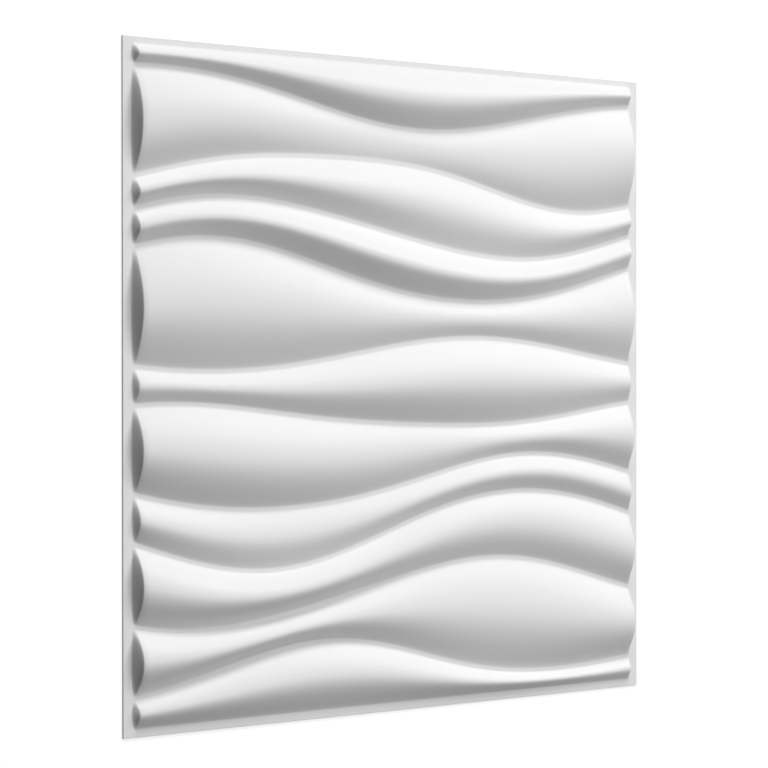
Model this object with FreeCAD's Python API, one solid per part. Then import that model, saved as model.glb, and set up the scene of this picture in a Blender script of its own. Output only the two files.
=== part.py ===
import FreeCAD, Part
import math
import os

os.makedirs("parts", exist_ok=True)

# Sizes of the panel, in millimetres.
# The panel lies on its back at z = 0, centred on the origin, with its face up.
SIDE = 500.0            # length of each side of the square
SHEET = 1.2             # thickness of the moulded sheet
TOP_BORDER = 4.4        # flat border above the top ridge
BOTTOM_BORDER = 6.0     # flat border below the bottom ridge
END_BORDER = 7.4        # flat border outside both ends of the ridges
END_RUN = 2.7           # length over which a ridge rounds over into its end wall
END_FULLNESS = 3.0      # squareness of that rounding, 2 for an ellipse and more for a squarer edge
END_LEAN = 0.22         # lean of the end walls, inwards for each millimetre of height
VALLEY = 2.8            # width of the flat strip between two ridges
FOOT_RADIUS = 3.0       # rounding where a ridge rises from the flat

# Valley lines between the ridges, from top to bottom.
# One wave fits the side, so the lines run on from panel to panel.
# Each row: level, swing, place of the highest point, ripple, place of the ripple's
# highest point, all in percent of the side and measured from the middle of the panel.
VALLEYS = [
    (42.9, 3.3, -45.0, 0.2, 28.0),
    (31.8, 3.3, -13.3, 0.6, 11.0),
    (23.9, 3.9, -29.0, 0.3, 9.0),
    (17.1, 4.3, -35.0, 0.3, 14.0),
    (4.7, 2.6, 14.9, 0.1, 15.0),
    (-4.6, 1.9, -40.0, 0.3, 5.0),
    (-14.9, 3.6, 26.1, 0.3, -22.0),
    (-21.9, 5.2, 24.6, 0.2, 3.0),
    (-31.4, 4.0, 15.8, 0.3, -24.0),
    (-42.6, 3.7, -15.3, 0.5, -12.0),
]

# Crests of the ridges, from top to bottom.
# Each row: mean height above the border, swing of the height, place of the highest point
# in percent of the side, and roundness, small for a sharp crest and large for a full arch.
CRESTS = [
    (7.8, 3.0, 5.0, 0.75),
    (6.0, 4.3, 48.0, 1.75),
    (7.2, 1.5, -14.0, 0.55),
    (8.8, 2.6, -5.0, 0.4),
    (7.9, 3.8, -36.0, 0.85),
    (7.6, 3.1, 11.0, 0.6),
    (7.7, 3.7, -35.0, 1.0),
    (5.8, 0.4, 45.0, 0.55),
    (9.4, 1.9, -33.0, 1.2),
    (9.8, 1.8, 34.0, 1.1),
    (6.9, 2.6, -13.0, 0.7),
]

# Places along the panel and across a ridge at which its surface is set out.
STATIONS = 13
ACROSS = 16
END_STEPS = 6


def wave(percent_along, place, waves_per_side):
    """Height of a cosine wave, from -1 to 1, with its highest point at place."""
    return math.cos(2 * math.pi * waves_per_side * (percent_along - place) / 100)


def valley_line(row, x):
    """Middle of a valley, measured up the panel, at x along it."""
    level, swing, place, ripple, ripple_place = row
    along = 100 * x / SIDE
    percent = level + swing * wave(along, place, 1) + ripple * wave(along, ripple_place, 2)
    return percent * SIDE / 100


def ridge_edges(ridge, x):
    """Lower and upper edge of a ridge's foot at x along the panel."""
    lower = BOTTOM_BORDER - SIDE / 2
    upper = SIDE / 2 - TOP_BORDER
    if ridge > 0:
        upper = valley_line(VALLEYS[ridge - 1], x) - VALLEY / 2
    if ridge < len(VALLEYS):
        lower = valley_line(VALLEYS[ridge], x) + VALLEY / 2
    return lower, upper


def ridge_profile(ridge, x):
    """Points (y, height, slope) across the face of a ridge, from its lower to its upper foot."""
    lower, upper = ridge_edges(ridge, x)
    mean, swing, place, roundness = CRESTS[ridge]
    crest = mean + swing * wave(100 * x / SIDE, place, 1)
    half = (upper - lower) / 2
    rim = math.hypot(1, roundness)
    fall = rim - roundness
    # The foot is eased over a height that gives it the foot radius on a flank of this slope.
    flank = crest / (half * rim * fall)
    ease = FOOT_RADIUS * flank ** 2 / (1 + flank ** 2)
    points = []
    for step in range(ACROSS + 1):
        u = -math.cos(math.pi * step / ACROSS)
        bow = math.hypot(u, roundness)
        arch = (crest + ease) * (rim - bow) / fall
        arch_slope = -(crest + ease) * u / (bow * fall * half)
        foot = math.exp(-arch / ease)
        height = arch - ease * (1 - foot)
        points.append(((lower + upper) / 2 + half * u, height, arch_slope * (1 - foot)))
    return points


def set_in(points, depth):
    """The same profile set in by depth at right angles to itself."""
    inner = []
    for y, height, slope in points:
        length = math.hypot(1, slope)
        inner.append((y + depth * slope / length, height - depth / length, slope))
    return inner


def section(profile, x, lean, base, share):
    """Curve across a ridge from its foot at x, leaning back with height, with heights cut to a share."""
    foot_height = profile[0][1]
    marks = []
    for y, height, slope in profile:
        rise = share * (height - foot_height)
        marks.append(FreeCAD.Vector(x - lean * rise, y, base + rise))
    places = [(1 - math.cos(math.pi * step / ACROSS)) / 2 for step in range(ACROSS + 1)]
    # Both ends of the curve lie level, so that the ridge runs smoothly into the flat.
    first_run = FreeCAD.Vector(0, (marks[1].y - marks[0].y) / (places[1] - places[0]), 0)
    last_run = FreeCAD.Vector(0, (marks[-1].y - marks[-2].y) / (places[-1] - places[-2]), 0)
    curve = Part.BSplineCurve()
    curve.interpolate(
        Points=marks,
        Parameters=places,
        InitialTangent=first_run,
        FinalTangent=last_run,
        Scale=False,
    )
    return Part.Wire([curve.toShape()])


def ridge_skin(ridge, depth):
    """Top and both end walls of a ridge, set in by depth from the face."""
    base = SHEET - depth
    foot_end = SIDE / 2 - END_BORDER - depth
    crest_end = foot_end - END_RUN
    faces = []
    top = []
    for station in range(STATIONS):
        along = 2 * station / (STATIONS - 1) - 1
        x = crest_end * along
        profile = set_in(ridge_profile(ridge, x), depth)
        top.append(section(profile, x, END_LEAN * along, base, 1))
    faces += Part.makeLoft(top, False, False).Faces
    for side in (-1, 1):
        profile = set_in(ridge_profile(ridge, side * crest_end), depth)
        wall = []
        for step in range(END_STEPS + 1):
            turn = math.pi / 2 * step / END_STEPS
            x = crest_end + END_RUN * math.sin(turn) ** (2 / END_FULLNESS)
            share = math.cos(turn) ** (2 / END_FULLNESS)
            wall.append(section(profile, side * x, END_LEAN * side, base, share))
        faces += Part.makeLoft(wall, False, False).Faces
    return faces


def lies_at(edge, level):
    """Whether an edge lies in the flat at the given level."""
    first, last = edge.ParameterRange
    middle = edge.valueAt((first + last) / 2)
    return abs(middle.z - level) < SHEET / 100 and abs(edge.Vertexes[0].Z - level) < SHEET / 100


def skin(depth):
    """One side of the sheet: all the ridges and the flat around and between them."""
    level = SHEET - depth
    corner = FreeCAD.Vector(-SIDE / 2, -SIDE / 2, level)
    outline = Part.makePlane(SIDE, SIDE, corner).OuterWire
    faces = []
    feet = []
    for ridge in range(len(CRESTS)):
        ridge_faces = ridge_skin(ridge, depth)
        edges = [edge for face in ridge_faces for edge in face.Edges if lies_at(edge, level)]
        feet.append(Part.Wire(Part.__sortEdges__(edges)))
        faces += ridge_faces
    flat = Part.Face([outline] + feet, "Part::FaceMakerCheese")
    return faces + flat.Faces, outline


def wave_panel():
    """The whole panel, one sheet of even thickness."""
    face, face_outline = skin(0)
    back, back_outline = skin(SHEET)
    rim = Part.makeLoft([back_outline, face_outline], False, True).Faces
    sheet = Part.Compound(face + back + rim)
    sheet.sewShape()
    return Part.Solid(sheet.Shells[0])


panel = wave_panel()
panel.exportStep("parts/wave_panel.step")
print("wave_panel valid:", panel.isValid(), "volume in cubic centimetres:", round(panel.Volume / 1000))
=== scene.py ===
import math

import bmesh
import bpy
from mathutils import Matrix, Vector


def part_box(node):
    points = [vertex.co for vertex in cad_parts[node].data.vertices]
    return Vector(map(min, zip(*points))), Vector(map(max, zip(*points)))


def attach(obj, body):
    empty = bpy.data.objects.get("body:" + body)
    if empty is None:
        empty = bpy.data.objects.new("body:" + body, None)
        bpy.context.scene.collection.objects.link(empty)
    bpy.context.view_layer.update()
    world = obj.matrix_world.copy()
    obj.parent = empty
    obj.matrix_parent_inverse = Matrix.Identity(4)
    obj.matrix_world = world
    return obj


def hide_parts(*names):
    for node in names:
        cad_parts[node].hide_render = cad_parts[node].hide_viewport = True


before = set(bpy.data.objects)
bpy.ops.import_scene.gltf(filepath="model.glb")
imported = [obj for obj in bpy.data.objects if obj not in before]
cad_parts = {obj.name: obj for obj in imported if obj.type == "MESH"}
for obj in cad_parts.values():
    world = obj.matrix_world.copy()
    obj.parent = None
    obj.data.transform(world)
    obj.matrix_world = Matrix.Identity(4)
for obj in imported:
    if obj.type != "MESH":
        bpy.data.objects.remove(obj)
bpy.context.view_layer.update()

bl_info = {
    "name": "Wave wall panel",
    "version": (1, 0, 0),
    "blender": (4, 5, 0),
    "location": "3D View > Sidebar > Wave panel",
    "description": "Moulds a wall panel with wave ridges, and sets a plain studio around it",
    "category": "Object",
}

PANEL_NODE = "wave_panel"
PANEL_LOW, PANEL_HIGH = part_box(PANEL_NODE)
PANEL_SIDE = PANEL_HIGH.x - PANEL_LOW.x
LAMPS = ("key", "side", "fill")

# Valley lines between the ridges, from top to bottom, in percent of the side.
# Each row: level, swing, place of the highest point, ripple, place of the ripple's highest point.
VALLEYS = [
    (42.9, 3.3, -45.0, 0.2, 28.0),
    (31.8, 3.3, -13.3, 0.6, 11.0),
    (23.9, 3.9, -29.0, 0.3, 9.0),
    (17.1, 4.3, -35.0, 0.3, 14.0),
    (4.7, 2.6, 14.9, 0.1, 15.0),
    (-4.6, 1.9, -40.0, 0.3, 5.0),
    (-14.9, 3.6, 26.1, 0.3, -22.0),
    (-21.9, 5.2, 24.6, 0.2, 3.0),
    (-31.4, 4.0, 15.8, 0.3, -24.0),
    (-42.6, 3.7, -15.3, 0.5, -12.0),
]

# Crests of the ridges, from top to bottom.
# Each row: mean height in millimetres, swing of the height in millimetres, place of the highest
# point in percent of the side, and roundness, small for a sharp crest, large for a full arch.
CRESTS = [
    (7.8, 3.0, 5.0, 0.75),
    (6.0, 4.3, 48.0, 1.75),
    (7.2, 1.5, -14.0, 0.55),
    (8.8, 2.6, -5.0, 0.4),
    (7.9, 3.8, -36.0, 0.85),
    (7.6, 3.1, 11.0, 0.6),
    (7.7, 3.7, -35.0, 1.0),
    (5.8, 0.4, 45.0, 0.55),
    (9.4, 1.9, -33.0, 1.2),
    (9.8, 1.8, 34.0, 1.1),
    (6.9, 2.6, -13.0, 0.7),
]
MILLIMETRE = 0.001

# How finely the sheet is divided: across a ridge, along the ridges, down an end wall.
ACROSS = 20
ALONG = 96
DOWN_WALL = 12

# Lines on the flat border: as shares of the way from an end wall's foot to the panel's edge,
# and as shares of the way from the middle of the panel to its top and bottom edges.
END_BORDER_LINES = (0.5, 0.9, 1)
OUTER_LINES = (0.998, 1)

# Half the width of the flat grid that is pressed into the panel's form.
GRID_HALF = 0.5

# Behind the top edges of the end walls the back is smoothed: how often and how strongly,
# how far from an edge in thicknesses of the sheet, and the thickness's share that counts as flat.
EASING_TURNS = 4
EASING_STRENGTH = 0.5
EASING_REACH = 2
FLAT_SHARE = 0.01

# Edges of the rim are sharper than this angle and lie past this share of the half side.
RIM_ANGLE = math.radians(60)
RIM_SHARE = 0.9999
RIM_SEGMENTS = 2

# Fineness of the marks in the finish.
CLOUD_DETAIL = 3
FLOW_DETAIL = 4
GRAIN_DETAIL = 2

# Roughness: what is taken off first, and what the flow marks and the grain add.
ROUGHNESS_DROP = 0.05
FLOW_ROUGHNESS = 0.06
GRAIN_ROUGHNESS = 0.05

# Share of the bump that is grain, where the rest is flow marks, and the gloss of the plastic.
GRAIN_SHARE = 0.7
PLASTIC_IOR = 1.5
PLASTIC_SPECULAR = 0.4

# Colours of the floor where it is seen and in the light that it throws back.
FLOOR_SEEN = (0.5, 0.5, 0.5, 1)
FLOOR_THROWN = (0.15, 0.15, 0.15, 1)
WHITE = (1, 1, 1, 1)

# Camera: width of the sensor in millimetres, and how far it sees in metres.
SENSOR_WIDTH = 36
VIEW_DEPTH = 50


class WavePanelSettings(bpy.types.PropertyGroup):
    """Sizes and finish of the moulded panel."""

    sheet: bpy.props.FloatProperty(
        name="Sheet", description="Thickness of the moulded sheet",
        default=0.0012, unit="LENGTH", precision=5)
    top_border: bpy.props.FloatProperty(
        name="Top border", description="Flat border above the top ridge",
        default=0.0044, unit="LENGTH", precision=5)
    bottom_border: bpy.props.FloatProperty(
        name="Bottom border", description="Flat border below the bottom ridge",
        default=0.0060, unit="LENGTH", precision=5)
    end_border: bpy.props.FloatProperty(
        name="End border", description="Distance from the panel's edge to the top of the end walls",
        default=0.0116, unit="LENGTH", precision=5)
    end_lean: bpy.props.FloatProperty(
        name="End lean", description="How far a wall's foot stands out, for each unit of its height",
        default=0.04, min=0)
    end_foot: bpy.props.FloatProperty(
        name="End foot", description="Width of a low end wall, from its top edge to its foot",
        default=0.0043, unit="LENGTH", precision=5)
    end_edge: bpy.props.FloatProperty(
        name="End edge", description="Fullness of the edge at the top of an end wall",
        default=2.0, min=1)
    end_ease: bpy.props.FloatProperty(
        name="End ease", description="Softness of the foot of an end wall",
        default=2.6, min=1)
    valley: bpy.props.FloatProperty(
        name="Valley", description="Width of the flat strip between two ridges",
        default=0.0028, unit="LENGTH", precision=5)
    foot_radius: bpy.props.FloatProperty(
        name="Foot radius", description="Rounding where a ridge rises from the flat",
        default=0.0030, unit="LENGTH", precision=5)
    rim_radius: bpy.props.FloatProperty(
        name="Rim radius", description="Rounding of the panel's outer edge",
        default=0.0002, unit="LENGTH", precision=5)
    colour: bpy.props.FloatVectorProperty(
        name="Colour", description="Colour of the moulded sheet",
        default=(0.80, 0.795, 0.80), size=3, subtype="COLOR", min=0, max=1)
    clouding: bpy.props.FloatProperty(
        name="Clouding", description="Share of the colour that is lost where the sheet is cloudy",
        default=0.015, subtype="FACTOR", min=0, max=1)
    cloud_size: bpy.props.FloatProperty(
        name="Cloud size", description="Width of a cloud in the colour",
        default=0.11, unit="LENGTH", precision=4)
    roughness: bpy.props.FloatProperty(
        name="Roughness", description="Roughness of the satin moulded skin",
        default=0.42, subtype="FACTOR", min=0, max=1)
    flow_size: bpy.props.FloatProperty(
        name="Flow mark size", description="Width of the faint marks that the moulding leaves",
        default=0.022, unit="LENGTH", precision=4)
    grain_size: bpy.props.FloatProperty(
        name="Grain size", description="Width of a grain of the moulded skin",
        default=0.0007, unit="LENGTH", precision=5)
    grain_depth: bpy.props.FloatProperty(
        name="Grain depth", description="Depth of the grain of the moulded skin",
        default=0.00001, unit="LENGTH", precision=6)


class WaveStageSettings(bpy.types.PropertyGroup):
    """Camera, lamps and floor of the studio."""

    camera_place: bpy.props.FloatVectorProperty(
        name="Camera", description="Place of the camera",
        default=(-1.2183, 0.0144, 1.5518), size=3, subtype="TRANSLATION")
    camera_aim: bpy.props.FloatVectorProperty(
        name="Aim", description="Direction in which the camera looks",
        default=(0.6130, -0.0067, -0.7901), size=3, subtype="DIRECTION")
    camera_up: bpy.props.FloatVectorProperty(
        name="Up", description="Direction that is upright in the picture",
        default=(0.0046, 1.0, -0.0049), size=3, subtype="DIRECTION")
    lens: bpy.props.FloatProperty(
        name="Lens", description="Focal length in millimetres on a 36 mm sensor", default=120.08)
    lamp_size: bpy.props.FloatProperty(
        name="Lamp size", description="Width of each lamp", default=1.6, unit="LENGTH")
    key_place: bpy.props.FloatVectorProperty(
        name="Key place", description="Place of the raking lamp above the top edge",
        default=(0.0, 5.23, 2.42), size=3, subtype="TRANSLATION")
    key_power: bpy.props.FloatProperty(
        name="Key power", description="Power of the raking lamp", default=219.0, subtype="POWER")
    side_place: bpy.props.FloatVectorProperty(
        name="Side place", description="Place of the lamp above the upper right corner",
        default=(2.42, 2.02, 2.21), size=3, subtype="TRANSLATION")
    side_power: bpy.props.FloatProperty(
        name="Side power", description="Power of the upper right lamp", default=48.6, subtype="POWER")
    fill_place: bpy.props.FloatVectorProperty(
        name="Fill place", description="Place of the lamp over the right edge",
        default=(1.31, 0.0, 2.83), size=3, subtype="TRANSLATION")
    fill_power: bpy.props.FloatProperty(
        name="Fill power", description="Power of the lamp over the right edge",
        default=39.7, subtype="POWER")
    room_light: bpy.props.FloatProperty(
        name="Room", description="Strength of the even light of the room", default=0.05)
    floor_glow: bpy.props.FloatProperty(
        name="Floor glow", description="White that the floor adds where the camera sees it", default=0.65)
    floor_width: bpy.props.FloatProperty(
        name="Floor", description="Width of the floor", default=16.0, unit="LENGTH")
    floor_gap: bpy.props.FloatProperty(
        name="Floor gap", description="Slight gap that keeps the floor clear of the panel's back",
        default=0.0001, unit="LENGTH", precision=5)


class Value:
    """A socket that can be used in sums, so that shader maths reads as maths."""

    def __init__(self, tree, socket):
        self.tree = tree
        self.socket = socket

    def node(self, kind, settings=None, **sockets):
        """Adds a node, sets it up and feeds its sockets, where _0 names a socket by its number."""
        made = self.tree.nodes.new(kind)
        for name, setting in (settings or {}).items():
            setattr(made, name, setting)
        for name, fed in sockets.items():
            key = int(name[1:]) if name[0] == "_" and name[1:].isdigit() else name.replace("_", " ")
            target = made.inputs[key]
            if isinstance(fed, Value):
                self.tree.links.new(fed.socket, target)
            else:
                target.default_value = fed
        return made

    def take(self, made, output=0):
        """One output of a node, as a value."""
        return Value(self.tree, made.outputs[output])

    def _maths(self, operation, first, second):
        """A sum or product of two values or numbers."""
        return self.take(self.node("ShaderNodeMath", {"operation": operation}, _0=first, _1=second))

    def __add__(self, other):
        return self._maths("ADD", self, other)

    def __radd__(self, other):
        return self._maths("ADD", other, self)

    def __mul__(self, other):
        return self._maths("MULTIPLY", self, other)

    def __rmul__(self, other):
        return self._maths("MULTIPLY", other, self)


def new_material(name):
    """An empty material with its shader, and a value that starts its sums from Object coordinates."""
    material = bpy.data.materials.new(name)
    material.use_nodes = True
    tree = material.node_tree
    shader = tree.nodes["Principled BSDF"]
    coordinates = tree.nodes.new("ShaderNodeTexCoord")
    return material, shader, Value(tree, coordinates.outputs["Object"])


def marks(place, size, detail):
    """Soft uneven marks of about the given size, from 0 to 1."""
    return place.take(place.node("ShaderNodeTexNoise", _0=place, Scale=1 / size, Detail=detail))


def satin_panel_material(settings):
    """Satin white moulded plastic: a fine skin grain, faint flow marks and slight clouding."""
    material, shader, place = new_material("satin_moulded_white")
    tree = material.node_tree
    cloud = marks(place, settings.cloud_size, CLOUD_DETAIL)
    flow = marks(place, settings.flow_size, FLOW_DETAIL)
    grain = marks(place, settings.grain_size, GRAIN_DETAIL)
    clear = settings.colour
    cloudy = [tone * (1 - settings.clouding) for tone in clear]
    tone = place.node("ShaderNodeMix", {"data_type": "RGBA"}, _0=cloud, _6=(*clear, 1), _7=(*cloudy, 1))
    tree.links.new(tone.outputs[2], shader.inputs["Base Color"])
    roughness = settings.roughness - ROUGHNESS_DROP + FLOW_ROUGHNESS * flow + GRAIN_ROUGHNESS * grain
    tree.links.new(roughness.socket, shader.inputs["Roughness"])
    relief = GRAIN_SHARE * grain + (1 - GRAIN_SHARE) * flow
    bump = place.node("ShaderNodeBump", Height=relief, Strength=1, Distance=settings.grain_depth)
    tree.links.new(bump.outputs[0], shader.inputs["Normal"])
    shader.inputs["IOR"].default_value = PLASTIC_IOR
    shader.inputs["Specular IOR Level"].default_value = PLASTIC_SPECULAR
    return material


def wave(percent_along, place, waves_per_side):
    """Height of a cosine wave, from -1 to 1, with its highest point at place."""
    return math.cos(2 * math.pi * waves_per_side * (percent_along - place) / 100)


def valley_line(row, x):
    """Middle of a valley, measured up the panel, at x along it."""
    level, swing, place, ripple, ripple_place = row
    along = 100 * x / PANEL_SIDE
    percent = level + swing * wave(along, place, 1) + ripple * wave(along, ripple_place, 2)
    return percent * PANEL_SIDE / 100


def ridge_edges(settings, ridge, x):
    """Lower and upper edge of a ridge's foot at x along the panel."""
    lower = settings.bottom_border - PANEL_SIDE / 2
    upper = PANEL_SIDE / 2 - settings.top_border
    if ridge > 0:
        upper = valley_line(VALLEYS[ridge - 1], x) - settings.valley / 2
    if ridge < len(VALLEYS):
        lower = valley_line(VALLEYS[ridge], x) + settings.valley / 2
    return lower, upper


def ridge_height(settings, ridge, x, u):
    """Height of a ridge above the flat at x along it and u across it, from -1 to 1."""
    lower, upper = ridge_edges(settings, ridge, x)
    mean, swing, place, roundness = CRESTS[ridge]
    crest = (mean + swing * wave(100 * x / PANEL_SIDE, place, 1)) * MILLIMETRE
    rim = math.hypot(1, roundness)
    fall = rim - roundness
    # The foot is eased over a height that gives it the foot radius on a flank of this slope.
    flank = 2 * crest / ((upper - lower) * rim * fall)
    ease = settings.foot_radius * flank ** 2 / (1 + flank ** 2)
    arch = (crest + ease) * (rim - math.hypot(u, roundness)) / fall
    return arch - ease * (1 - math.exp(-arch / ease))


def columns(settings):
    """Lines across the panel, left to right: place of the top, share of the wall, share of the border."""
    top_end = PANEL_SIDE / 2 - settings.end_border
    right = [(top_end, step / DOWN_WALL, 0) for step in range(1, DOWN_WALL + 1)]
    right += [(top_end, 1, share) for share in END_BORDER_LINES]
    left = [(-place, wall, border) for place, wall, border in reversed(right)]
    middle = [(top_end * (2 * step / ALONG - 1), 0, 0) for step in range(ALONG + 1)]
    return left + middle + right


def rows():
    """Lines along the panel from bottom to top: the ridge, and the place across it from -1 to 1."""
    lines = []
    for ridge in reversed(range(len(CRESTS))):
        lines += [(ridge, -math.cos(math.pi * step / ACROSS)) for step in range(ACROSS + 1)]
    top = [(None, share) for share in OUTER_LINES]
    bottom = [(None, -share) for share in reversed(OUTER_LINES)]
    return bottom + lines + top


def face_point(settings, column, row):
    """Point of the panel's face where a line across it meets a line along it."""
    top_x, wall, border = column
    ridge, u = row
    height = 0
    if ridge is not None:
        height = ridge_height(settings, ridge, top_x, u)
    run = settings.end_lean * height + settings.end_foot
    x = abs(top_x) + wall * run
    x += border * (PANEL_SIDE / 2 - x)
    x = math.copysign(x, top_x)
    y = u * PANEL_SIDE / 2
    if ridge is not None:
        lower, upper = ridge_edges(settings, ridge, x)
        y = (lower + upper + u * (upper - lower)) / 2
    share = (1 - wall ** settings.end_edge) ** settings.end_ease
    return Vector((x, y, settings.sheet + height * share))


def on_outline(vertex):
    """Whether a vertex lies on the outline of the panel."""
    return max(abs(vertex.co.x), abs(vertex.co.y)) > RIM_SHARE * PANEL_SIDE / 2


class WAVE_PANEL_OT_mould_panel(bpy.types.Operator):
    """Moulds the panel: a sheet of even thickness with wave ridges and soft-footed end walls"""

    bl_idname = "wave_panel.mould_panel"
    bl_label = "Moulded panel"

    def execute(self, context):
        settings = context.scene.wave_panel_settings
        mesh = bpy.data.meshes.new("moulded_panel")
        shape = bmesh.new()
        self.press_sheet(shape, settings)
        self.round_rim(shape, settings)
        for face in shape.faces:
            face.smooth = True
        shape.to_mesh(mesh)
        shape.free()
        mesh.materials.append(satin_panel_material(settings))
        panel = bpy.data.objects.new("moulded_panel", mesh)
        context.scene.collection.objects.link(panel)
        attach(panel, "root")
        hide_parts(PANEL_NODE)
        return {"FINISHED"}

    def press_sheet(self, shape, settings):
        """A flat grid, pressed into the form of the face and given the thickness of the sheet."""
        across = columns(settings)
        along = rows()
        bmesh.ops.create_grid(
            shape, x_segments=len(across) - 1, y_segments=len(along) - 1, size=GRID_HALF)
        for vertex in shape.verts:
            column = across[round((vertex.co.x + GRID_HALF) * (len(across) - 1))]
            row = along[round((vertex.co.y + GRID_HALF) * (len(along) - 1))]
            vertex.co = face_point(settings, column, row)
        bmesh.ops.recalc_face_normals(shape, faces=shape.faces)
        thick = bmesh.ops.solidify(shape, geom=shape.faces[:], thickness=settings.sheet)
        back = [part for part in thick["geom"] if isinstance(part, bmesh.types.BMVert)]
        self.ease_back(shape, settings, back)

    def ease_back(self, shape, settings, back):
        """The back behind the top edges of the end walls, smoothed so that it doesn't fold over itself."""
        top_end = PANEL_SIDE / 2 - settings.end_border
        reach = EASING_REACH * settings.sheet
        hollow = [vertex for vertex in back if vertex.co.z > FLAT_SHARE * settings.sheet]
        corner = [vertex for vertex in hollow if abs(abs(vertex.co.x) - top_end) < reach]
        for turn in range(EASING_TURNS):
            bmesh.ops.smooth_vert(
                shape, verts=corner, factor=EASING_STRENGTH, use_axis_x=True, use_axis_z=True)

    def round_rim(self, shape, settings):
        """The outer edges of the sheet, slightly rounded."""
        sharp = [edge for edge in shape.edges if edge.calc_face_angle(0) > RIM_ANGLE]
        rim = [edge for edge in sharp if all(on_outline(vertex) for vertex in edge.verts)]
        bmesh.ops.bevel(
            shape, geom=rim, offset=settings.rim_radius, segments=RIM_SEGMENTS,
            profile=0.5, affect="EDGES", material=-1)


def floor_material(glow):
    """Pale matt floor with the panel's shadow, white where it is seen and dim in what it throws back."""
    material, shader, place = new_material("pale_floor")
    tree = material.node_tree
    tree.nodes.remove(shader)
    path = place.node("ShaderNodeLightPath")
    seen = place.take(path, "Is Camera Ray") + place.take(path, "Is Glossy Ray")
    seen = seen + place.take(path, "Is Transmission Ray")
    matt = place.node("ShaderNodeBsdfDiffuse", Color=FLOOR_SEEN)
    white = place.node("ShaderNodeEmission", Color=WHITE, Strength=glow)
    bright = place.node("ShaderNodeAddShader", _0=place.take(matt), _1=place.take(white))
    dim = place.node("ShaderNodeBsdfDiffuse", Color=FLOOR_THROWN)
    floor = place.node("ShaderNodeMixShader", _0=seen, _1=place.take(dim), _2=place.take(bright))
    tree.links.new(floor.outputs[0], tree.nodes["Material Output"].inputs["Surface"])
    return material


class WAVE_PANEL_OT_set_studio(bpy.types.Operator):
    """Sets the floor, the lamps, the room's light and the camera"""

    bl_idname = "wave_panel.set_studio"
    bl_label = "Studio"

    def execute(self, context):
        settings = context.scene.wave_stage_settings
        self.lay_floor(context, settings)
        self.hang_lamps(context, settings)
        self.light_room(context, settings)
        self.place_camera(context, settings)
        context.scene.view_settings.view_transform = "Standard"
        return {"FINISHED"}

    def lay_floor(self, context, settings):
        """The floor, one flat square just under the panel."""
        mesh = bpy.data.meshes.new("floor")
        shape = bmesh.new()
        bmesh.ops.create_grid(shape, x_segments=1, y_segments=1, size=settings.floor_width / 2)
        bmesh.ops.translate(shape, vec=(0, 0, -settings.floor_gap), verts=shape.verts)
        shape.to_mesh(mesh)
        shape.free()
        mesh.materials.append(floor_material(settings.floor_glow))
        floor = bpy.data.objects.new("floor", mesh)
        context.scene.collection.objects.link(floor)

    def hang_lamps(self, context, settings):
        """The square lamps, all turned to the middle of the panel."""
        for name in LAMPS:
            lamp = bpy.data.lights.new(name, "AREA")
            lamp.energy = getattr(settings, name + "_power")
            lamp.size = settings.lamp_size
            light = bpy.data.objects.new(name, lamp)
            place = Vector(getattr(settings, name + "_place"))
            turn = place.to_track_quat("Z", "Y").to_matrix().to_4x4()
            light.matrix_world = Matrix.Translation(place) @ turn
            context.scene.collection.objects.link(light)

    def light_room(self, context, settings):
        """The weak even light of the room."""
        world = bpy.data.worlds.new("room")
        world.use_nodes = True
        background = world.node_tree.nodes["Background"]
        background.inputs["Color"].default_value = WHITE
        background.inputs["Strength"].default_value = settings.room_light
        context.scene.world = world

    def place_camera(self, context, settings):
        """The camera, looking down on the panel from its left."""
        view = bpy.data.cameras.new("view")
        view.lens = settings.lens
        view.sensor_width = SENSOR_WIDTH
        view.clip_end = VIEW_DEPTH
        camera = bpy.data.objects.new("view", view)
        back = -Vector(settings.camera_aim).normalized()
        right = Vector(settings.camera_up).cross(back).normalized()
        up = back.cross(right)
        turn = Matrix((right, up, back)).transposed().to_4x4()
        camera.matrix_world = Matrix.Translation(settings.camera_place) @ turn
        context.scene.collection.objects.link(camera)
        context.scene.camera = camera


class WAVE_PANEL_PT_sidebar(bpy.types.Panel):
    """Lists the sizes and the finish of the panel, the studio, and the steps"""

    bl_idname = "WAVE_PANEL_PT_sidebar"
    bl_label = "Wave panel"
    bl_space_type = "VIEW_3D"
    bl_region_type = "UI"
    bl_category = "Wave panel"

    def draw(self, context):
        for settings in (context.scene.wave_panel_settings, context.scene.wave_stage_settings):
            for name in settings.__annotations__:
                self.layout.prop(settings, name)
        for operator in OPERATORS:
            self.layout.operator(operator.bl_idname)


OPERATORS = (WAVE_PANEL_OT_mould_panel, WAVE_PANEL_OT_set_studio)
CLASSES = (WavePanelSettings, WaveStageSettings, *OPERATORS, WAVE_PANEL_PT_sidebar)


def register():
    """Makes the settings, operators and sidebar known to Blender."""
    for made in CLASSES:
        bpy.utils.register_class(made)
    bpy.types.Scene.wave_panel_settings = bpy.props.PointerProperty(type=WavePanelSettings)
    bpy.types.Scene.wave_stage_settings = bpy.props.PointerProperty(type=WaveStageSettings)


def unregister():
    """Takes them out again."""
    del bpy.types.Scene.wave_stage_settings
    del bpy.types.Scene.wave_panel_settings
    for made in reversed(CLASSES):
        bpy.utils.unregister_class(made)


def main():
    """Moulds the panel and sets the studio."""
    register()
    bpy.ops.wave_panel.mould_panel()
    bpy.ops.wave_panel.set_studio()


if __name__ == "__main__":
    main()
